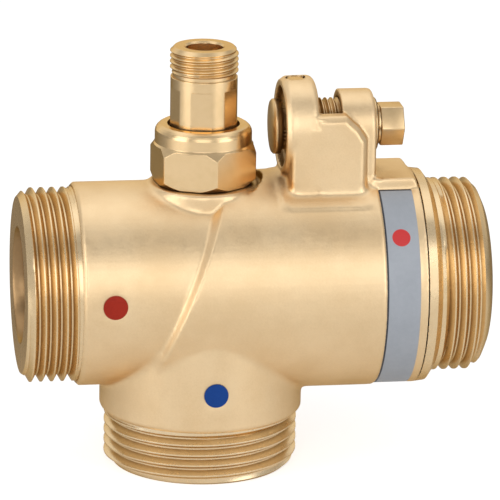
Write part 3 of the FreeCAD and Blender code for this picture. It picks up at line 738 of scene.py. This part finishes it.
def make_outlet():
    """Outlet tailpiece: collar, wound thread, stepped bevel and bore."""
    bm = bmesh.new()
    start = tail_shoulder - tail_lap
    wind_thread(bm, thread_r, thread_root_r, thread_pitch, start, tail_mouth)
    hold_radius(bm,
                low=between([(start, thread_r), (tail_shoulder + tail_full, thread_r),
                             (tail_shoulder + tail_run_out, thread_root_r), (tail_mouth, 0.0)]),
                high=between([(start, thread_r), (tail_mouth - tail_bevel, thread_r),
                              (tail_mouth - tail_nose, tail_nose_r),
                              (tail_mouth, tail_face_r)]))
    tail_corner = (tail_end + tail_end_bevel, tail_socket_r)
    carry_on(bm, border_ring(bm, tail_mouth),
             [(tail_mouth, tail_bore_r + mouth_break), (tail_mouth - mouth_break, tail_bore_r),
              (tail_end, tail_bore_r), (tail_end, tail_end_r), tail_corner])
    carry_on(bm, border_ring(bm, start),
             tail_collar + [(seam_x, tail_socket_r), (seal_groove_end, tail_socket_r),
                            (seal_groove_end, seal_groove_r), (seal_groove_start, seal_groove_r),
                            (seal_groove_start, tail_socket_r), tail_corner])
    bmesh.ops.remove_doubles(bm, verts=bm.verts, dist=0.001)
    bmesh.ops.recalc_face_normals(bm, faces=bm.faces)
    piece = set_in_place(bm, "mixed_outlet", thread_brass, smooth_angle=28)
    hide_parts("outlet_tailpiece")


# ---------------------------------------------------------------- neck and clevis screw

def make_neck():
    """Spindle housing with a wound fine thread on its top end."""
    bm = from_node("spindle_housing")
    drop_faces(bm, lambda c: c.z > neck_thread_low - 0.01
               and math.hypot(c.x, c.y) > neck_bore_r + neck_bore_margin)
    cut(bm, (0, 0, neck_skin_low), (0, 0, 1), drop_outer=False)
    drop_faces(bm, lambda c: c.z > neck_skin_low and math.hypot(c.x, c.y) > neck_core_r)
    add_to(bm, neck_skin())
    turn_to_z = Matrix.Rotation(-math.pi / 2, 3, "Y")
    thread = bmesh.new()
    wind_thread(thread, neck_crest_r, neck_root_r, neck_pitch, neck_thread_low, neck_top,
                fine_thread_steps)
    hold_radius(thread,
                low=between([(neck_thread_low, neck_root_r), (neck_top, 0.0)]),
                high=between([(neck_thread_low, neck_root_r),
                              (neck_thread_low + neck_run_in, neck_crest_r),
                              (neck_top - neck_bevel, neck_crest_r),
                              (neck_top, neck_crest_r - neck_bevel)]))
    carry_on(thread, border_ring(thread, neck_top),
             [(neck_top, neck_bore_r + mouth_break), (neck_top - mouth_break, neck_bore_r)])
    bmesh.ops.recalc_face_normals(thread, faces=thread.faces)
    bmesh.ops.rotate(thread, verts=thread.verts, cent=(0, 0, 0), matrix=turn_to_z)
    add_to(bm, thread)
    piece = set_in_place(bm, "spindle_neck", upright_brass, smooth_angle=8)
    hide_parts("spindle_housing")


def neck_skin():
    """Plain neck with its six wrench flats and the groove behind the thread."""
    bm = bmesh.new()
    place = (Matrix.Translation((0, 0, neck_skin_low))
             @ Matrix.Rotation(math.radians(neck_flats_turn), 4, "Z"))
    bmesh.ops.create_circle(bm, segments=neck_segments, radius=neck_plain_r, matrix=place)
    ring = bm.edges[:]
    outline = ((neck_flats_low, neck_plain_r, False), (neck_flats_low, neck_plain_r, True),
               (neck_flats_top, neck_plain_r, True), (neck_flats_top, neck_plain_r, False),
               (neck_groove_low - neck_groove_break, neck_plain_r, False),
               (neck_groove_low, neck_plain_r - neck_groove_break, False),
               (neck_groove_low, neck_root_r, False), (neck_thread_low, neck_root_r, False))
    for height, radius, flats in outline:
        ring, points = grow(bm, ring)
        for v in points:
            turn = math.degrees(math.atan2(v.co.x, -v.co.y)) - neck_flats_turn
            off_flat = math.radians((turn + 30) % 60 - 30)
            wanted = min(radius, neck_flats / 2 / math.cos(off_flat)) if flats else radius
            r = math.hypot(v.co.x, v.co.y)
            v.co = Vector((v.co.x * wanted / r, v.co.y * wanted / r, height))
    bmesh.ops.remove_doubles(bm, verts=bm.verts, dist=0.001)
    bmesh.ops.recalc_face_normals(bm, faces=bm.faces)
    return bm


def make_clevis_screw():
    """Captive screw with its wound thread between the ears."""
    bm = from_node("clevis_screw")

    def replaced(c):
        at_surface = math.hypot(c.y, c.z - screw_axis) > screw_crest_r - shank_margin
        return shank_start < c.x < shank_end and at_surface or c.x > screw_collar_end

    drop_faces(bm, replaced)
    middle = (hex_start + hex_end) / 2
    turn = Matrix.Rotation(math.pi / 2, 4, "Y")
    head = bmesh.ops.create_cone(bm, cap_ends=True, segments=6, radius1=hex_corner_r,
                                 radius2=hex_corner_r, depth=hex_end - hex_start,
                                 matrix=Matrix.Translation((middle, 0, screw_axis)) @ turn)
    edges = {e for v in head["verts"] for e in v.link_edges}
    bmesh.ops.bevel(bm, geom=list(edges), offset=hex_bevel, offset_type="OFFSET", segments=3,
                    profile=0.5, affect="EDGES", material=-1)
    thread = bmesh.new()
    wind_thread(thread, screw_crest_r, screw_root_r, screw_pitch, screw_skin_start,
                screw_skin_end, fine_thread_steps)
    plain_ends = between([(screw_skin_start, screw_crest_r), (screw_thread_start, screw_crest_r),
                          (screw_thread_start + screw_run_out, screw_root_r),
                          (screw_thread_end, screw_root_r),
                          (screw_thread_end + screw_run_out, screw_crest_r),
                          (screw_skin_end, screw_crest_r)])
    hold_radius(thread, low=plain_ends)
    bmesh.ops.recalc_face_normals(thread, faces=thread.faces)
    bmesh.ops.translate(thread, verts=thread.verts, vec=(0, 0, screw_axis))
    add_to(bm, thread)
    piece = set_in_place(bm, "captive_screw", screw_brass, "screw",
                         smooth_angle=30)
    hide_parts("clevis_screw")


def add_to(bm, extra):
    """Joins a second bmesh to the first."""
    carrier = bpy.data.meshes.new("joined")
    extra.to_mesh(carrier)
    extra.free()
    bm.from_mesh(carrier)
    bpy.data.meshes.remove(carrier)


make_casting()
make_waterways()
inlet_thread("hot_port_thread", -hot_shoulder, -hot_mouth, (-1, 0, 0), hot_bore_r,
             thread_brass)
inlet_thread("cold_port_thread", cold_shoulder, cold_mouth, (0, 0, -1), cold_bore_r,
             upright_thread_brass)
make_outlet()
make_neck()
make_clevis_screw()

finishes = {
    "gland_nut": upright_brass, "adjusting_spindle": upright_brass,
    "retaining_pin": upright_brass, "hot_marker": red_enamel, "cold_marker": blue_enamel,
    "outlet_label": label_finish, "outlet_o_ring": rubber, "housing_gasket": fibre,
    "spindle_o_rings": rubber, "setting_carrier": thread_brass, "wax_element": copper,
    "overload_spring": steel, "overload_clip": steel, "push_rod": steel, "shuttle": plastic,
    "shuttle_o_ring": rubber, "return_spring": steel, "hot_seat_disc": thread_brass,
    "hot_seat_washer": rubber, "cold_seat_ring": thread_brass,
}
for name, finish in finishes.items():
    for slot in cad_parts[name].material_slots:
        slot.material = finish


# ---------------------------------------------------------------- camera, floor and light

def place_camera():
    """Long lens a metre away, a little above and to the left of the front."""
    around = math.radians(camera_around)
    above = math.radians(camera_above)
    roll = math.radians(camera_roll)
    back = Vector((math.sin(around) * math.cos(above), -math.cos(around) * math.cos(above),
                   math.sin(above)))
    level = Vector((math.cos(around), math.sin(around), 0))
    upward = back.cross(level)
    right = level * math.cos(roll) + upward * math.sin(roll)
    up = upward * math.cos(roll) - level * math.sin(roll)
    data = bpy.data.cameras.new("camera")
    data.lens = camera_lens
    data.sensor_width = 36.0
    data.shift_x = -0.001
    data.shift_y = 0.001
    data.clip_start = 0.05
    data.clip_end = 20.0
    camera = bpy.data.objects.new("camera", data)
    eye = Vector((0, 0, run_z)) + back * camera_distance + right * camera_right + up * camera_up
    axes = Matrix((right, up, back)).transposed().to_4x4()
    camera.matrix_world = Matrix.Translation(eye * MM) @ axes
    bpy.context.scene.collection.objects.link(camera)
    bpy.context.scene.camera = camera


def place_floor():
    """Pale floor that stays near white for the camera and keeps the part's shadow."""
    bm = bmesh.new()
    bmesh.ops.create_grid(bm, x_segments=1, y_segments=1, size=3.0)
    mesh = bpy.data.meshes.new("floor")
    bm.to_mesh(mesh)
    bm.free()
    material, tree, shader = start_material("pale_floor", Roughness=0.9)
    shader.inputs["Specular IOR Level"].default_value = 0.0
    path = node(tree, "ShaderNodeLightPath")
    shader.inputs["Emission Color"].default_value = (1, 1, 1, 1)
    seen = math_node(tree, "MULTIPLY", path.outputs["Is Camera Ray"], floor_lift)
    split = node(tree, "ShaderNodeSeparateXYZ")
    tree.links.new(node(tree, "ShaderNodeTexCoord").outputs["Object"], split.inputs["Vector"])
    behind = remap(tree, split.outputs["Y"], -0.02, 0.11)
    dim = math_node(tree, "MULTIPLY", path.outputs["Is Glossy Ray"], behind)
    tree.links.new(mix_colour(tree, dim, floor_tone, floor_tone_behind),
                   shader.inputs["Base Color"])
    front = math_node(tree, "SUBTRACT", path.outputs["Is Glossy Ray"], dim)
    mirrored = math_node(tree, "MULTIPLY", front, floor_lift_mirrored)
    tree.links.new(math_node(tree, "ADD", seen, mirrored), shader.inputs["Emission Strength"])
    mesh.materials.append(material)
    floor = bpy.data.objects.new("floor", mesh)
    floor.location.z = -floor_drop
    bpy.context.scene.collection.objects.link(floor)


def place_world():
    """White for the camera; metal sees a dim room with a bright panel overhead."""
    world = bpy.data.worlds.new("studio")
    bpy.context.scene.world = world
    world.use_nodes = True
    tree = world.node_tree
    background = tree.nodes["Background"]
    where = node(tree, "ShaderNodeTexCoord").outputs["Generated"]
    split = node(tree, "ShaderNodeSeparateXYZ")
    tree.links.new(where, split.inputs["Vector"])
    sides = remap(tree, split.outputs["Y"], 0.35, 0.85, front_level, back_level)
    high = remap(tree, split.outputs["Z"], 0.55, 0.85)
    past_top = remap(tree, split.outputs["Y"], -0.36, -0.04)
    panel = math_node(tree, "MULTIPLY", high, past_top)
    wall_top = remap(tree, split.outputs["Z"], 0.55, 0.8, 1.0, wall_top_share)
    walls = math_node(tree, "MULTIPLY", sides, wall_top)
    overhead = math_node(tree, "MAXIMUM", walls,
                         math_node(tree, "MULTIPLY", panel, overhead_level))
    path = node(tree, "ShaderNodeLightPath")
    seen = math_node(tree, "MAXIMUM", path.outputs["Is Camera Ray"],
                     path.outputs["Is Transmission Ray"])
    mirrored = math_node(tree, "MULTIPLY", path.outputs["Is Glossy Ray"], overhead)
    diffuse = math_node(tree, "MULTIPLY", path.outputs["Is Diffuse Ray"], room_level)
    level = math_node(tree, "MAXIMUM", math_node(tree, "MAXIMUM", seen, mirrored), diffuse)
    background.inputs["Color"].default_value = (1, 1, 1, 1)
    tree.links.new(level, background.inputs["Strength"])


def add_softbox(name, around, distance, height, size, radiance, upright=True):
    """Panel at an azimuth from the front that faces the part; size is width and height."""
    data = bpy.data.lights.new(name, "AREA")
    data.shape = "RECTANGLE"
    data.size, data.size_y = size
    data.energy = radiance * math.pi * data.size * data.size_y
    lamp = bpy.data.objects.new(name, data)
    angle = math.radians(around)
    spot = Vector((aim_x + math.sin(angle) * distance, -math.cos(angle) * distance, height))
    aim = Vector((aim_x, 0, aim_z)) - spot
    if upright:
        aim.z = 0
    lamp.matrix_world = (Matrix.Translation(spot)
                         @ aim.to_track_quat("-Z", "Y").to_matrix().to_4x4())
    lamp.visible_camera = False
    bpy.context.scene.collection.objects.link(lamp)


place_camera()
place_floor()
place_world()
add_softbox("left_softbox", around=-64, distance=0.42, height=0.21, size=(0.24, 0.40),
            radiance=1.85)
add_softbox("right_softbox", around=44, distance=0.42, height=0.21, size=(0.24, 0.40),
            radiance=1.6)
add_softbox("front_softbox", around=-9, distance=1.3, height=0.56, size=(0.9, 0.85),
            radiance=1.65, upright=False)

bpy.context.scene.view_settings.view_transform = "Standard"
bpy.context.view_layer.update()
